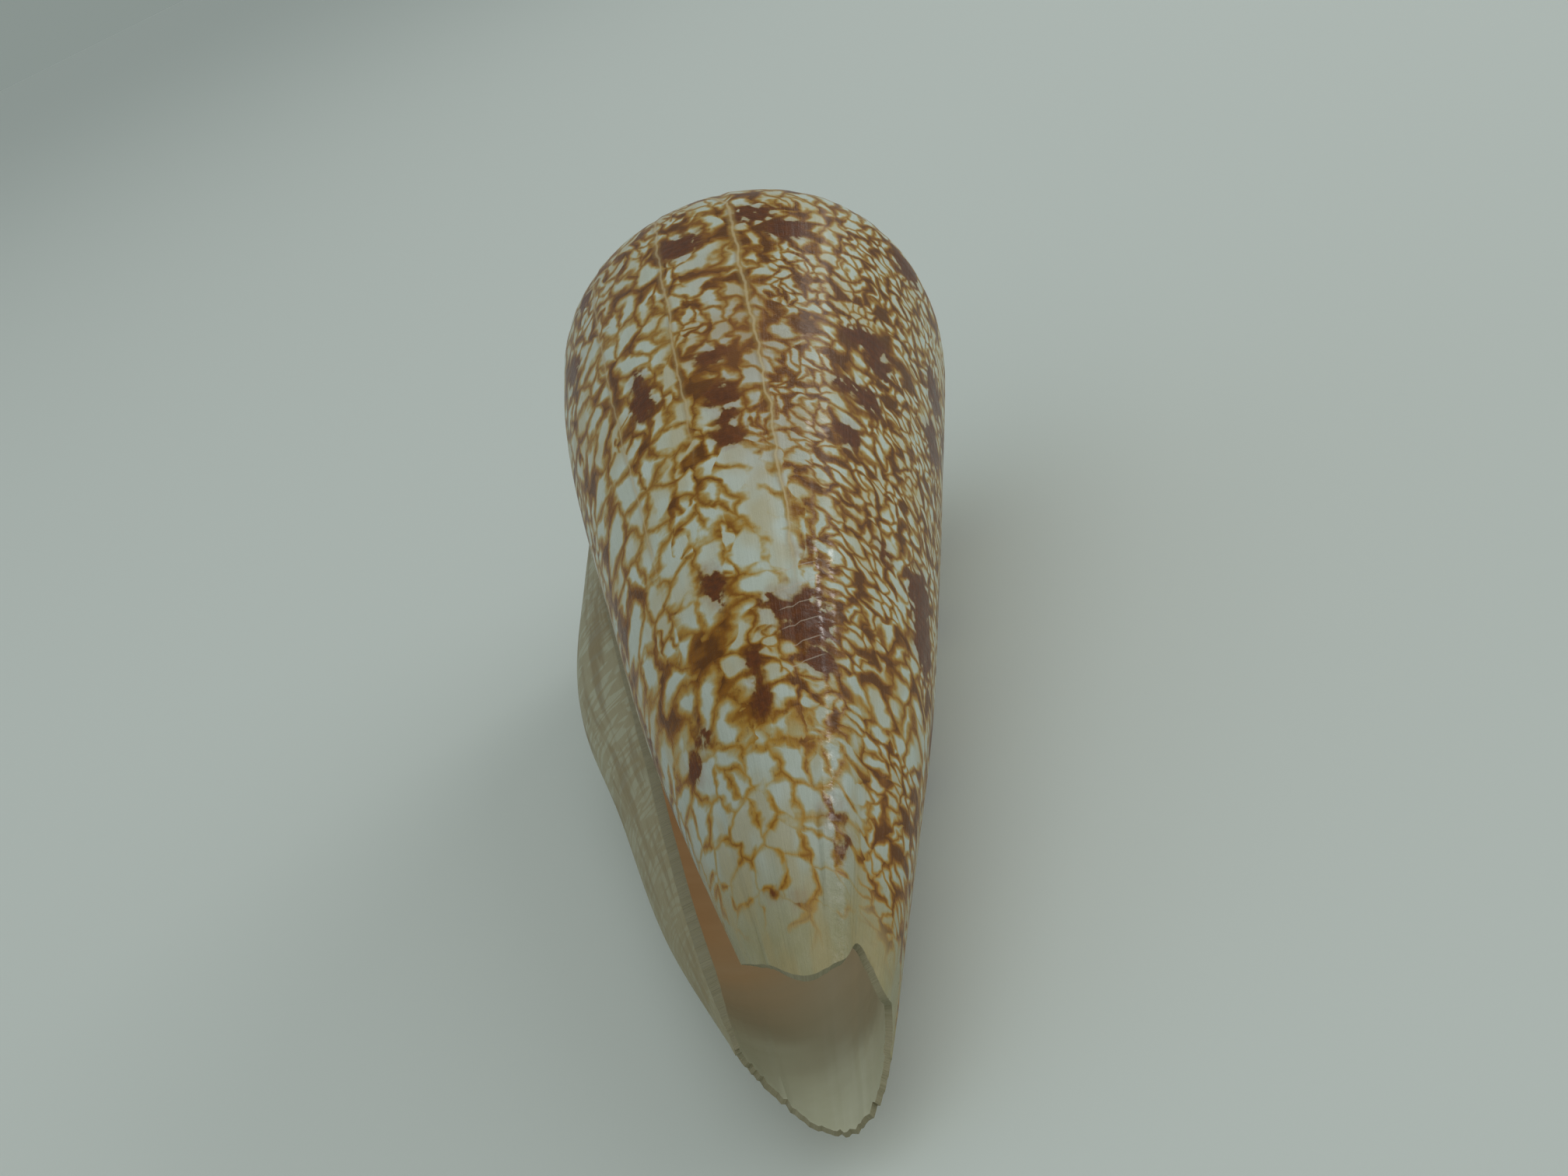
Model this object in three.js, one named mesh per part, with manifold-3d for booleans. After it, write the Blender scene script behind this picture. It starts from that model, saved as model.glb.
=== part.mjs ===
// Cone shell: one piece, grown as a coiled wall around its own axis.
// Millimetres, +Z up. The shell lies on its back: the narrow (front) end
// points toward -Y and dips a little, the spire points toward +Y.
import * as THREE from 'three';
import Module from 'manifold-3d';

// ---- driving dimensions (mm, degrees) ----
const LIP_ANGLE = 249.57;      // where the free edge of the outer lip stands
const TURN_COLUMNS = 40;       // facets round one turn
const CHAMBER_TURNS = 1.25;    // how far the open chamber runs back inside
const SPIRE_TURNS = 4;         // whorls seen on the spire
const WHORL_RATIO = 0.70;      // size of a hidden whorl against the next one
const APEX_Z = -8.51;          // point the whorls grow from, along the axis
const TIP_Z = -6.7;            // worn tip of the spire along the axis
const SHOULDER_Z = 4.98;       // widest ring of the last whorl at the lip
const SHOULDER_RATIO = 0.8987; // shoulder height, one turn back
const DOME_DEPTH = 10.37;      // height of the rounded shoulder
const DOME_POWER = 0.9122;     // roundness of the shoulder
const SUTURE_BETA = 40;        // shoulder angle where the whorls join
const CROWN_BETAS = [40, 30, 20, 10];
const WALL = 1.15;             // wall of the body
const FRONT_WALL = 0.8;       // wall at the narrow end
const LIP_WALL = 0.55;         // wall at the free edge
const LIP_TAPER = 30;          // degrees over which the lip thins
const BULGE = 0.09;            // how far each spire whorl swells
const PITCH = 8.0;             // dip of the narrow end, as it lies
const ROLL = -15.0;             // turn about the axis, as it lies
const REST_CUT = 0.45;           // worn flat it lies on

// distance along the whorl wall, 0 at the shoulder and 1 at the front margin
const STATION = [0, 0.08, 0.18, 0.3, 0.42, 0.54, 0.66, 0.78, 0.88, 0.95, 1.0];
// radius of the last whorl at those stations, for angles round the axis
// (0 is the belly, 90 the right side, 180 the back)
const GIRTH = [
  [-110, [8.08, 8.01, 7.76, 7.31, 6.69, 6.03, 5.36, 4.50, 3.60, 2.90, 2.38]],
  [-90, [9.20, 9.15, 8.88, 8.32, 7.56, 6.79, 6.01, 4.99, 3.95, 3.15, 2.54]],
  [-70, [9.94, 9.91, 9.64, 9.02, 8.14, 7.27, 6.38, 5.25, 4.13, 3.27, 2.64]],
  [-50, [10.63, 10.60, 10.30, 9.62, 8.66, 7.67, 6.66, 5.44, 4.26, 3.37, 2.72]],
  [-25, [11.56, 11.42, 11.01, 10.23, 9.16, 8.03, 6.91, 5.61, 4.39, 3.48, 2.80]],
  [0, [12.69, 12.31, 11.65, 10.69, 9.50, 8.28, 7.09, 5.74, 4.49, 3.55, 2.87]],
  [25, [14.05, 13.31, 12.27, 11.06, 9.75, 8.46, 7.23, 5.86, 4.58, 3.63, 2.92]],
  [50, [14.86, 13.91, 12.65, 11.29, 9.92, 8.62, 7.37, 5.97, 4.67, 3.70, 2.98]],
  [75, [14.65, 13.81, 12.66, 11.37, 10.06, 8.80, 7.54, 6.08, 4.75, 3.77, 3.05]],
  [100, [14.32, 13.61, 12.61, 11.45, 10.23, 9.02, 7.72, 6.19, 4.85, 3.88, 3.15]],
  [125, [14.27, 13.61, 12.67, 11.59, 10.44, 9.24, 7.90, 6.33, 4.99, 4.02, 3.29]],
  [150, [14.04, 13.56, 12.80, 11.81, 10.64, 9.39, 8.11, 6.61, 5.24, 4.20, 3.43]],
  [175, [13.98, 13.71, 13.15, 12.27, 11.10, 9.83, 8.60, 7.14, 5.69, 4.57, 3.72]],
  [195, [14.37, 14.19, 13.74, 13.01, 11.97, 10.79, 9.50, 7.86, 6.30, 5.09, 4.17]],
  [210, [14.14, 14.27, 14.18, 13.77, 12.91, 11.78, 10.48, 8.70, 6.84, 5.40, 4.35]],
  [225, [12.73, 13.39, 13.94, 14.16, 13.45, 12.03, 10.62, 8.89, 6.89, 5.34, 4.22]],
  [238, [10.77, 11.48, 12.18, 12.65, 11.95, 10.18, 8.67, 7.32, 5.94, 4.81, 3.94]],
  [249.57, [9.56, 9.50, 9.27, 8.84, 8.11, 7.24, 6.49, 5.70, 4.87, 4.14, 3.52]],
];
// height of the front margin along the axis; the hidden whorls stop short
const MARGIN = [
  [-560, 40], [-360, 43], [-230, 46], [-170, 48.5], [-135, 50.9], [-110, 53.4], [-90, 54.8],
  [-70, 55.85], [-50, 56.85], [-25, 58.0], [0, 59.2], [25, 58.59], [38, 57.9], [48, 57.0],
  [60, 57.9], [75, 58.87], [100, 58.28], [125, 59.65], [150, 61.28], [175, 61.43],
  [195, 60.14], [210, 58.78], [225, 57.87], [238, 57.79], [249.57, 58.26],
];
const MESH_STATION = [0, 0.07, 0.15, 0.23, 0.31, 0.39, 0.47, 0.55, 0.63, 0.71, 0.79, 0.87, 0.94, 1];

const rad = (a) => (a * Math.PI) / 180;

// natural cubic through the stations; `flatStart` keeps the first slope level
function curve(xs, ys, flatStart = false) {
  const n = xs.length;
  const h = [], m = new Array(n).fill(0), d = new Array(n).fill(1), u = new Array(n).fill(0);
  for (let i = 0; i < n - 1; i++) h.push(xs[i + 1] - xs[i]);
  const lo = new Array(n).fill(0), rhs = new Array(n).fill(0);
  if (flatStart) { d[0] = 2 * h[0]; u[0] = h[0]; rhs[0] = 6 * ((ys[1] - ys[0]) / h[0]); }
  for (let i = 1; i < n - 1; i++) {
    lo[i] = h[i - 1]; d[i] = 2 * (h[i - 1] + h[i]); u[i] = h[i];
    rhs[i] = 6 * ((ys[i + 1] - ys[i]) / h[i] - (ys[i] - ys[i - 1]) / h[i - 1]);
  }
  for (let i = 1; i < n; i++) {
    const k = lo[i] / d[i - 1];
    d[i] -= k * u[i - 1]; rhs[i] -= k * rhs[i - 1];
  }
  m[n - 1] = rhs[n - 1] / d[n - 1];
  for (let i = n - 2; i >= 0; i--) m[i] = (rhs[i] - u[i] * m[i + 1]) / d[i];
  return (x) => {
    const c = Math.min(Math.max(x, xs[0]), xs[n - 1]);
    let i = 0;
    while (i < n - 2 && c > xs[i + 1]) i++;
    const a = (xs[i + 1] - c) / h[i], b = (c - xs[i]) / h[i];
    return a * ys[i] + b * ys[i + 1]
      + ((a * a * a - a) * m[i] + (b * b * b - b) * m[i + 1]) * h[i] * h[i] / 6;
  };
}

const FIRST = GIRTH[0][0];
const girthAngles = GIRTH.map((g) => g[0]);
const girthCurves = STATION.map((_, k) => curve(girthAngles, GIRTH.map((g) => g[1][k])));
const marginCurve = curve(MARGIN.map((m) => m[0]), MARGIN.map((m) => m[1]));

function whorl(phi) {
  const back = Math.max(0, (FIRST - phi) / 360);
  const scale = Math.pow(WHORL_RATIO, back);
  const at = Math.max(phi, FIRST);
  const g = Math.pow(SHOULDER_RATIO, (LIP_ANGLE - phi) / 360);
  return {
    radius: curve(STATION, girthCurves.map((c) => c(at) * scale), at < 25),
    z0: APEX_Z + g * (SHOULDER_Z - APEX_Z),
    z1: marginCurve(phi),
    depth: DOME_DEPTH * g,
  };
}
const side = (w, t) => [w.radius(t), w.z0 + t * (w.z1 - w.z0)];
const crown = (w, beta) => [
  w.radius(0) * Math.pow(Math.cos(rad(beta)), DOME_POWER),
  w.z0 - w.depth * Math.pow(Math.sin(rad(beta)), DOME_POWER),
];

// ---- the coil, as columns of points in (radius, height) ----
const N = TURN_COLUMNS;
const J = Math.round(CHAMBER_TURNS * N);
const angleOf = (j) => LIP_ANGLE - (360 * j) / N;
const crownCount = CROWN_BETAS.length;
const M = crownCount + MESH_STATION.length;    // points in an outer column

const outer = [], inner = [];
for (let j = 0; j <= J + N; j++) {
  const w = whorl(angleOf(j));
  outer.push([...CROWN_BETAS.map((b) => crown(w, b)), ...MESH_STATION.map((t) => side(w, t))]);
}
for (let j = 0; j <= J; j++) {
  const o = outer[j], col = [];
  const lip = Math.min(1, (360 * j) / N / LIP_TAPER);
  for (let k = 0; k < M; k++) {
    const t = k < crownCount ? 0 : MESH_STATION[k - crownCount];
    const full = WALL + (FRONT_WALL - WALL) * Math.max(0, (t - 0.5) / 0.5);
    const wall = LIP_WALL + (full - LIP_WALL) * lip;
    const a = o[Math.max(0, k - 1)], b = o[Math.min(M - 1, k + 1)];
    const dr = b[0] - a[0], dz = b[1] - a[1], len = Math.hypot(dr, dz);
    col.push(k === M - 1 ? [o[k][0] - wall, o[k][1]]
      : [o[k][0] - (wall * dz) / len, o[k][1] + (wall * dr) / len]);
  }
  inner.push(col);
}

// joins between the whorls on the spire
const lastJoin = outer[N][0];
function join(j) {
  if (j <= N) return outer[j][0];
  const s = Math.pow(WHORL_RATIO, (j - N) / N);
  return [lastJoin[0] * s, TIP_Z + (lastJoin[1] - TIP_Z) * s];
}
const JS = SPIRE_TURNS * N;

// ---- mesh ----
const verts = [], tris = [];
const cosR = Math.cos(rad(PITCH)), sinR = Math.sin(rad(PITCH));
function place(phi, [r, z]) {
  const a = rad(phi - ROLL);
  const right = r * Math.sin(a), belly = r * Math.cos(a);
  verts.push(right, -z * cosR - belly * sinR, -z * sinR + belly * cosR);
  return verts.length / 3 - 1;
}
const E = outer.map((col, j) => col.map((p, k) => (j <= N || k > 0 ? place(angleOf(j), p) : -1)));
const I = inner.map((col, j) => col.map((p, k) => (k > 0 ? place(angleOf(j), p) : -1)));
const S = [], B = [];
for (let j = 0; j <= JS + N; j++) S.push(j <= N ? E[j][0] : place(angleOf(j), join(j)));
for (let j = 0; j <= JS; j++) {
  const a = join(j), b = join(j + N);
  const dr = a[0] - b[0], dz = a[1] - b[1], len = Math.hypot(dr, dz);
  B.push([1 / 3, 2 / 3].map((s) => {
    const h = BULGE * len * 4 * s * (1 - s);
    return place(angleOf(j), [a[0] - dr * s + (h * dz) / len, a[1] - dz * s - (h * dr) / len]);
  }));
}
const tri = (a, b, c) => tris.push(a, b, c);
const quad = (a, b, c, d) => { tri(a, b, c); tri(a, c, d); };

for (let j = 0; j < J + N; j++) {
  for (let k = j < N ? 0 : 1; k < M - 1; k++) quad(E[j][k], E[j][k + 1], E[j + 1][k + 1], E[j + 1][k]);
}
for (let j = 0; j < JS; j++) {
  const c0 = [S[j + N], B[j][1], B[j][0], S[j]];
  const c1 = [S[j + 1 + N], B[j + 1][1], B[j + 1][0], S[j + 1]];
  for (let k = 0; k < 3; k++) quad(c0[k], c0[k + 1], c1[k + 1], c1[k]);
}
for (let j = 0; j < J; j++) {
  for (let k = 1; k < M - 1; k++) quad(I[j][k + 1], I[j][k], I[j + 1][k], I[j + 1][k + 1]);
  quad(I[j + 1][1], I[j][1], E[j + N][1], E[j + 1 + N][1]);
  quad(E[j + 1][M - 1], E[j][M - 1], I[j][M - 1], I[j + 1][M - 1]);
}
for (let k = 1; k < M - 1; k++) {
  quad(E[0][k + 1], E[0][k], I[0][k], I[0][k + 1]);
  quad(I[J][k + 1], I[J][k], E[J + N][k], E[J + N][k + 1]);
}
const lipTop = [E[0][1], S[0], B[0][0], B[0][1], S[N], E[N][1]];
for (let k = 0; k < lipTop.length - 1; k++) tri(I[0][1], lipTop[k], lipTop[k + 1]);
// end of the core and tip of the spire
let coreZ = 0;
for (let j = J; j <= J + N; j++) coreZ += outer[j][M - 1][1] / (N + 1);
const core = place(0, [0, coreZ]);
for (let j = J; j < J + N; j++) tri(E[j + 1][M - 1], E[j][M - 1], core);
tri(E[J][M - 1], I[J][M - 1], core);
tri(I[J][M - 1], E[J + N][M - 1], core);
const tip = place(0, [0, TIP_Z]);
for (let j = JS; j < JS + N; j++) tri(S[j], S[j + 1], tip);
tri(S[JS + N], B[JS][1], tip); tri(B[JS][1], B[JS][0], tip); tri(B[JS][0], S[JS], tip);

// sit it on z = 0 and centre it
const box = [[1e9, 1e9, 1e9], [-1e9, -1e9, -1e9]];
for (let i = 0; i < verts.length; i++) {
  const k = i % 3;
  box[0][k] = Math.min(box[0][k], verts[i]); box[1][k] = Math.max(box[1][k], verts[i]);
}
const shift = [-(box[0][0] + box[1][0]) / 2, -(box[0][1] + box[1][1]) / 2, -box[0][2] - REST_CUT];
for (let i = 0; i < verts.length; i++) verts[i] += shift[i % 3];

const wasm = await Module();
wasm.setup();
const { Manifold, Mesh } = wasm;
function solid(v, t) {
  const m = new Mesh({ numProp: 3, vertProperties: new Float32Array(v), triVerts: new Uint32Array(t) });
  m.merge();
  return new Manifold(m);
}
let body = solid(verts, tris);
if (body.volume() < 0) {
  const flipped = [];
  for (let i = 0; i < tris.length; i += 3) flipped.push(tris[i], tris[i + 2], tris[i + 1]);
  body = solid(verts, flipped);
}
const below = Manifold.cube([200, 200, 40], true).translate([0, 0, -20]);
body = body.subtract(below);

const out = body.getMesh();
const geometry = new THREE.BufferGeometry();
const pos = new Float32Array(out.numVert * 3);
for (let i = 0; i < out.numVert; i++) {
  for (let k = 0; k < 3; k++) pos[3 * i + k] = out.vertProperties[out.numProp * i + k];
}
geometry.setAttribute('position', new THREE.BufferAttribute(pos, 3));
geometry.setIndex(new THREE.BufferAttribute(new Uint32Array(out.triVerts), 1));
geometry.computeVertexNormals();

const shell = new THREE.Mesh(geometry, new THREE.MeshStandardMaterial({
  name: 'shell_wall', color: 0xd9cdb4, roughness: 0.35, metalness: 0,
}));
shell.name = 'cone_shell';

const group = new THREE.Group();
group.name = 'cone_shell_part';
group.add(shell);
export default group;
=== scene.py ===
import math
import bpy
import numpy as np
from mathutils import Matrix, Vector


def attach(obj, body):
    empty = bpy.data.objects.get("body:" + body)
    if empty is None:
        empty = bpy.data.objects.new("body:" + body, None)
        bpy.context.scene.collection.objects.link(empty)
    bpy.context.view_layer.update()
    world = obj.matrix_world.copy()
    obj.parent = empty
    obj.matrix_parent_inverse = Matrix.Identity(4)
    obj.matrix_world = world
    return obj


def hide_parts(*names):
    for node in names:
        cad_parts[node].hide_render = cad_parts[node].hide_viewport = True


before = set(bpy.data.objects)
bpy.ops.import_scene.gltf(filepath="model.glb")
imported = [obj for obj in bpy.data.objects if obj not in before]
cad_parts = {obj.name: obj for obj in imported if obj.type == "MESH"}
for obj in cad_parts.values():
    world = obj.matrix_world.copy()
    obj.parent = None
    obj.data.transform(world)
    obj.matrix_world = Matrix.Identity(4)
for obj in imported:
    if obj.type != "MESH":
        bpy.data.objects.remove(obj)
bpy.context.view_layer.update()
NODE = "cone_shell"

# ---------------------------------------------------------------- the form
LIP_ANGLE = 249.57
WHORL_RATIO = 0.70
APEX_Z, TIP_Z = -8.51, -6.7
SHOULDER_Z, SHOULDER_RATIO = 4.98, 0.8987
DOME_DEPTH, DOME_POWER = 10.37, 0.9122
WALL, FRONT_WALL, LIP_WALL, LIP_TAPER = 1.15, 0.8, 0.55, 30.0
BULGE, PITCH, ROLL, REST_CUT = 0.09, 8.0, -15.0, 0.45
SPIRE_TURNS = 4
STATION = np.array([0, 0.08, 0.18, 0.3, 0.42, 0.54, 0.66, 0.78, 0.88, 0.95, 1.0])
GIRTH = [
    [-110, [8.08, 8.01, 7.76, 7.31, 6.69, 6.03, 5.36, 4.50, 3.60, 2.90, 2.38]],
    [-90, [9.20, 9.15, 8.88, 8.32, 7.56, 6.79, 6.01, 4.99, 3.95, 3.15, 2.54]],
    [-70, [9.94, 9.91, 9.64, 9.02, 8.14, 7.27, 6.38, 5.25, 4.13, 3.27, 2.64]],
    [-50, [10.63, 10.60, 10.30, 9.62, 8.66, 7.67, 6.66, 5.44, 4.26, 3.37, 2.72]],
    [-25, [11.56, 11.42, 11.01, 10.23, 9.16, 8.03, 6.91, 5.61, 4.39, 3.48, 2.80]],
    [0, [12.69, 12.31, 11.65, 10.69, 9.50, 8.28, 7.09, 5.74, 4.49, 3.55, 2.87]],
    [25, [14.05, 13.31, 12.27, 11.06, 9.75, 8.46, 7.23, 5.86, 4.58, 3.63, 2.92]],
    [50, [14.86, 13.91, 12.65, 11.29, 9.92, 8.62, 7.37, 5.97, 4.67, 3.70, 2.98]],
    [75, [14.65, 13.81, 12.66, 11.37, 10.06, 8.80, 7.54, 6.08, 4.75, 3.77, 3.05]],
    [100, [14.32, 13.61, 12.61, 11.45, 10.23, 9.02, 7.72, 6.19, 4.85, 3.88, 3.15]],
    [125, [14.27, 13.61, 12.67, 11.59, 10.44, 9.24, 7.90, 6.33, 4.99, 4.02, 3.29]],
    [150, [14.04, 13.56, 12.80, 11.81, 10.64, 9.39, 8.11, 6.61, 5.24, 4.20, 3.43]],
    [175, [13.98, 13.71, 13.15, 12.27, 11.10, 9.83, 8.60, 7.14, 5.69, 4.57, 3.72]],
    [195, [14.37, 14.19, 13.74, 13.01, 11.97, 10.79, 9.50, 7.86, 6.30, 5.09, 4.17]],
    [210, [14.14, 14.27, 14.18, 13.77, 12.91, 11.78, 10.48, 8.70, 6.84, 5.40, 4.35]],
    [225, [12.73, 13.39, 13.94, 14.16, 13.45, 12.03, 10.62, 8.89, 6.89, 5.34, 4.22]],
    [238, [10.77, 11.48, 12.18, 12.65, 11.95, 10.18, 8.67, 7.32, 5.94, 4.81, 3.94]],
    [249.57, [9.56, 9.50, 9.27, 8.84, 8.11, 7.24, 6.49, 5.70, 4.87, 4.14, 3.52]],
]
MARGIN = [
    [-560, 40], [-360, 43], [-230, 46], [-170, 48.5], [-135, 50.9], [-110, 53.4], [-90, 54.8],
    [-70, 55.85], [-50, 56.85], [-25, 58.0], [0, 59.2], [25, 58.59], [38, 57.9], [48, 57.0],
    [60, 57.9], [75, 58.87], [100, 58.28], [125, 59.65], [150, 61.28], [175, 61.43],
    [195, 60.14], [210, 58.78], [225, 57.87], [238, 57.79], [249.57, 58.26],
]


def natural(xs, ys):
    """Natural cubic through (xs, ys); ys may have several columns."""
    xs = np.asarray(xs, float)
    ys = np.asarray(ys, float)
    ys = ys.reshape(len(xs), -1)
    n = len(xs)
    h = np.diff(xs)
    a = np.zeros((n, n))
    b = np.zeros((n, ys.shape[1]))
    a[0, 0] = a[-1, -1] = 1.0
    for i in range(1, n - 1):
        a[i, i - 1], a[i, i], a[i, i + 1] = h[i - 1], 2 * (h[i - 1] + h[i]), h[i]
        b[i] = 6 * ((ys[i + 1] - ys[i]) / h[i] - (ys[i] - ys[i - 1]) / h[i - 1])
    m = np.linalg.solve(a, b)

    def f(x):
        c = np.clip(np.atleast_1d(np.asarray(x, float)), xs[0], xs[-1])
        i = np.clip(np.searchsorted(xs, c, side="right") - 1, 0, n - 2)
        hi = h[i][:, None]
        p = (xs[i + 1] - c)[:, None] / hi
        q = (c - xs[i])[:, None] / hi
        return p * ys[i] + q * ys[i + 1] + ((p ** 3 - p) * m[i] + (q ** 3 - q) * m[i + 1]) * hi * hi / 6

    return f


girth_at = natural([g[0] for g in GIRTH], [g[1] for g in GIRTH])
margin_at = natural([m[0] for m in MARGIN], [m[1] for m in MARGIN])


def radii(phi, t):
    """Radius (columns x stations) of the whorl wall at angles phi."""
    phi = np.asarray(phi, float)
    scale = WHORL_RATIO ** (np.maximum(0, GIRTH[0][0] - phi) / 360)
    g = girth_at(np.maximum(phi, GIRTH[0][0])) * scale[:, None]
    return natural(STATION, g.T)(t).T


def levels(phi):
    g = SHOULDER_RATIO ** ((LIP_ANGLE - np.asarray(phi, float)) / 360)
    return APEX_Z + g * (SHOULDER_Z - APEX_Z), margin_at(phi)[:, 0], DOME_DEPTH * g


def columns(phi, betas, t):
    """Outer wall as (columns, points, [radius, height]) from the join to the front margin."""
    z0, z1, depth = levels(phi)
    r = radii(phi, t)
    r0 = radii(phi, np.array([0.0]))
    b = np.radians(betas)
    rc = r0 * np.cos(b)[None] ** DOME_POWER
    zc = z0[:, None] - depth[:, None] * np.sin(b)[None] ** DOME_POWER
    z = z0[:, None] + t[None] * (z1 - z0)[:, None]
    return np.stack([np.concatenate([rc, r], 1), np.concatenate([zc, z], 1)], -1)


def to_world(phi, r, z, shift):
    a = np.radians(phi - ROLL)
    right, belly = r * np.sin(a), r * np.cos(a)
    c, s = math.cos(math.radians(PITCH)), math.sin(math.radians(PITCH))
    return np.stack([right, -z * c - belly * s, -z * s + belly * c], -1) + shift


def base_shift():
    """The offset that puts the CAD solid on the floor, from its own coarse columns."""
    n = 40
    j = np.arange(0, int(round(1.25 * n)) + n + 1)
    phi = LIP_ANGLE - 360 * j / n
    t = np.array([0, 0.07, 0.15, 0.23, 0.31, 0.39, 0.47, 0.55, 0.63, 0.71, 0.79, 0.87, 0.94, 1])
    c = columns(phi, np.array([40, 30, 20, 10.0]), t)
    p = to_world(phi[:, None], c[..., 0], c[..., 1], np.zeros(3)).reshape(-1, 3)
    tip = to_world(np.array(0.0), np.array(0.0), np.array(TIP_Z), np.zeros(3)).reshape(1, 3)
    p = np.concatenate([p, tip])
    lo, hi = p.min(0), p.max(0)
    return np.array([-(lo[0] + hi[0]) / 2, -(lo[1] + hi[1]) / 2, -lo[2] - REST_CUT])


SHIFT = base_shift()


def smooth(a, b, x):
    t = np.clip((x - a) / (b - a), 0, 1)
    return t * t * (3 - 2 * t)


def wave_noise(seed, x, lo, hi, count=24):
    """Repeatable one-line noise made of sines with periods between lo and hi."""
    rng = np.random.default_rng(seed)
    out = np.zeros_like(np.asarray(x, float))
    for _ in range(count):
        p = np.exp(rng.uniform(np.log(lo), np.log(hi)))
        out = out + np.sin(2 * np.pi * x / p + rng.uniform(0, 6.28)) * (p / hi) ** 0.5
    return out / count ** 0.5


# angles round one turn, closer together beside the free edge
k = 1
frac = np.concatenate([np.arange(0, 12, 0.6 * k), np.arange(12, 30, 1.2 * k), np.linspace(30, 360, 150 // k, endpoint=False)]) / 360
N = len(frac)
QUARTER = int(np.argmin(abs(frac - 0.25)))
J = N + QUARTER
turns = lambda count: np.concatenate([frac + i for i in range(int(math.ceil(count)) + 1)])
all_turn = turns(SPIRE_TURNS + 2)
ANG = LIP_ANGLE - 360 * all_turn

betas = np.linspace(40, 2.5, 16 // k)
ts = np.concatenate([np.arange(0, 0.88, 0.0125 * k), np.linspace(0.88, 1.0, 21 // k)])
KC = len(betas)
K30 = int(np.argmin(abs(betas - 30)))
M = KC + len(ts)
phi_col = ANG[:J + N + 1]
colm = columns(phi_col, betas, ts)
tcol = np.concatenate([-(betas / 40.0), ts])
PHI = np.repeat(phi_col[:, None], M, 1)

# fine form: old growth edges, the thin chipped front margin and the free lip
R, Z = colm[..., 0].copy(), colm[..., 1].copy()
T = np.repeat(tcol[None], len(phi_col), 0)
body = (np.arange(len(phi_col)) <= N)[:, None]
for at0, at1, wide, deep in ((11.0, 20.5, 1.1, 0.10), (-9.0, -8.0, 1.2, 0.07), (-34.0, -31.0, 1.6, 0.08), (52, 58, 1.4, 0.05), (-66, -70, 1.5, 0.06),
                             (118, 122, 1.6, 0.10), (150, 158, 1.5, 0.07), (196, 205, 1.5, 0.07)):
    line = at0 + (at1 - at0) * np.clip(T, 0, 1)
    x = (PHI - line) / wide
    R -= deep * np.exp(-x * x) * body * smooth(-0.9, -0.2, T)
    R += 0.5 * deep * np.exp(-((x - 1.6) / 1.3) ** 2) * body * smooth(-0.9, -0.2, T)
R += 0.03 * wave_noise(3, PHI, 4, 18) * smooth(-1.0, 0.0, T) * (1 - smooth(0.6, 0.95, T)) * np.clip(R / 10, 0.3, 1)
edge = smooth(0.80, 1.0, T)
chip = 0.10 * wave_noise(5, PHI, 2.2, 12) + 0.16 * np.abs(wave_noise(9, PHI, 3, 22))
back = smooth(112, 150, PHI)
Z -= edge * (0.03 * wave_noise(6, PHI, 12, 50) + back * chip) * (T > 0)
# the free edge wanders and is chipped toward the front
near = np.exp(-np.maximum(0, LIP_ANGLE - PHI) / 5.0) * (np.arange(len(phi_col)) < N)[:, None]
s_edge = np.clip(T, 0, 1) * 55
wander = 0.5 * wave_noise(12, s_edge, 6, 30) + smooth(0.66, 0.9, T) * (1.3 * np.abs(wave_noise(15, s_edge, 0.9, 4.5)))
PHI = PHI - near * wander * smooth(0.02, 0.2, T)


def inward(r, z, wall):
    dr = np.gradient(r, axis=1)
    dz = np.gradient(z, axis=1)
    ln = np.hypot(dr, dz) + 1e-9
    ri, zi = r - wall * dz / ln, z + wall * dr / ln
    ri[:, -1], zi[:, -1] = r[:, -1] - wall[:, -1], z[:, -1]
    return ri, zi


lipf = np.clip((LIP_ANGLE - phi_col[:J + 1]) / LIP_TAPER, 0, 1)[:, None]
full = WALL + (FRONT_WALL - WALL) * np.clip((T[:J + 1] - 0.5) / 0.5, 0, 1)
thin = 1 - 0.62 * smooth(0.90, 1.0, T[:J + 1])
wall = (LIP_WALL + (full - LIP_WALL) * lipf) * thin
RI, ZI = inward(R[:J + 1], Z[:J + 1], wall)

# ---------------------------------------------------------------- mesh
verts, uvs, nets, marks = [], [], [], []


def put(phi, r, z, t, inner):
    """Adds points; returns their indices. t is -1..0 on the crown, 0..1 on the side."""
    phi, r, z, t = np.broadcast_arrays(np.asarray(phi, float), r, z, t)
    start = sum(len(v) for v in verts)
    verts.append(to_world(phi, r, z, SHIFT).reshape(-1, 3))
    uvs.append(np.stack([np.radians(phi) * 10.0, z], -1).reshape(-1, 2))
    arm = np.where(t >= 0, np.interp(np.clip(t, 0, 1), STATION, np.array(GIRTH[5][1])), np.minimum(r, 12.6))
    turn = np.where(t < -1.0, phi + 360.0 * 0, phi)
    nets.append(np.stack([np.radians(turn) * np.maximum(arm, 3.4), z], -1).reshape(-1, 2))
    marks.append(np.stack([phi, t, np.full(phi.shape, float(inner)), r], -1).reshape(-1, 4))
    return (start + np.arange(phi.size)).reshape(phi.shape)


E = put(PHI, R, Z, T, 0)
I = put(PHI[:J + 1], RI, ZI, T[:J + 1], 1)
faces, fmat = [], []


def grid(ix, mat, flip=False):
    a, b, c, d = ix[:-1, :-1], ix[:-1, 1:], ix[1:, 1:], ix[1:, :-1]
    q = np.stack([a, b, c, d] if not flip else [d, c, b, a], -1).reshape(-1, 4)
    faces.append(q)
    fmat.append(np.full(len(q), mat))


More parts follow.
